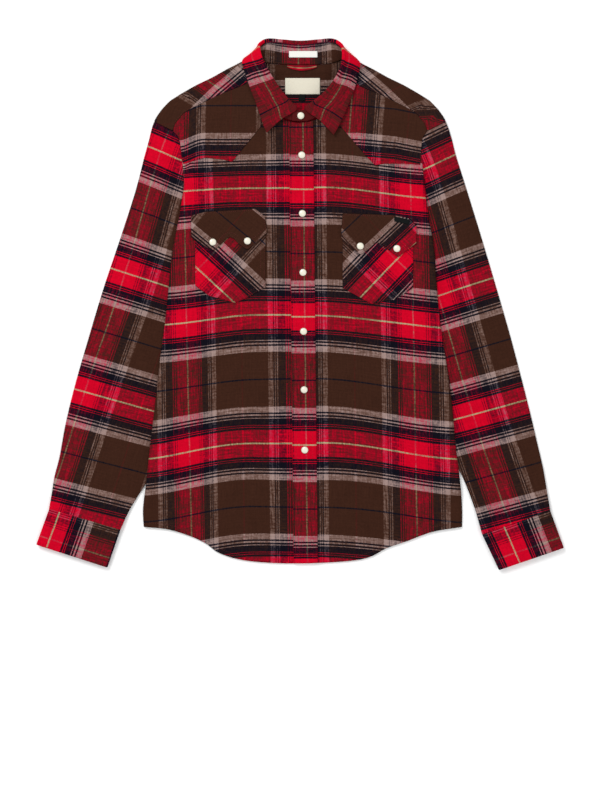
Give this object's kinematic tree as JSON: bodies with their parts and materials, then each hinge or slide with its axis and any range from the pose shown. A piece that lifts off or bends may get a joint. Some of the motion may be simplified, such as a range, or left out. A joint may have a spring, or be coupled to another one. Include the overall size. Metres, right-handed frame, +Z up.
{
  "type": "western snap shirt",
  "caption": "Long-sleeved western shirt in brushed red plaid cotton, laid out flat and snapped shut, with pointed yokes, sawtooth pocket flaps and pearl snaps.",
  "frame": {"origin": "on the underside of the back panel, where the shirt rests on a flat surface, under the middle of the body and half way up the laid-out shirt", "axes": "+X to the wearer's left, +Y from the hem to the collar, +Z up off the surface that the shirt lies on"},
  "size_m": [0.8235, 0.8299, 0.0329],
  "materials": {
    "plaid_cotton": "brushed twill plaid",
    "pearl_snap": "pearl",
    "label_cream": "woven, blank",
    "label_white": "satin, blank",
    "tab_dark": "woven, blank"
  },
  "bodies": {
    "root": {"back_panel": "plaid_cotton", "back_yoke": "plaid_cotton", "collar_leaf": "plaid_cotton", "collar_stand": "plaid_cotton", "front_placket": "plaid_cotton", "front_snap_1": "pearl_snap", "front_snap_2": "pearl_snap", "front_snap_3": "pearl_snap", "front_snap_4": "pearl_snap", "front_snap_5": "pearl_snap", "front_snap_6": "pearl_snap", "front_snap_7": "pearl_snap", "left_cuff": "plaid_cotton", "left_cuff_snap_1": "pearl_snap", "left_cuff_snap_2": "pearl_snap", "left_flap_snap_1": "pearl_snap", "left_flap_snap_2": "pearl_snap", "left_front": "plaid_cotton", "left_front_yoke": "plaid_cotton", "left_pocket": "plaid_cotton", "left_pocket_flap": "plaid_cotton", "left_sleeve": "plaid_cotton", "left_sleeve_placket": "plaid_cotton", "locker_loop": "plaid_cotton", "neck_label": "label_cream", "pocket_tab": "tab_dark", "right_cuff": "plaid_cotton", "right_cuff_snap_1": "pearl_snap", "right_cuff_snap_2": "pearl_snap", "right_flap_snap_1": "pearl_snap", "right_flap_snap_2": "pearl_snap", "right_front": "plaid_cotton", "right_front_yoke": "plaid_cotton", "right_pocket": "plaid_cotton", "right_pocket_flap": "plaid_cotton", "right_sleeve": "plaid_cotton", "right_sleeve_placket": "plaid_cotton", "size_tab": "tab_dark", "stand_label": "label_white"}
  },
  "joints": []
}
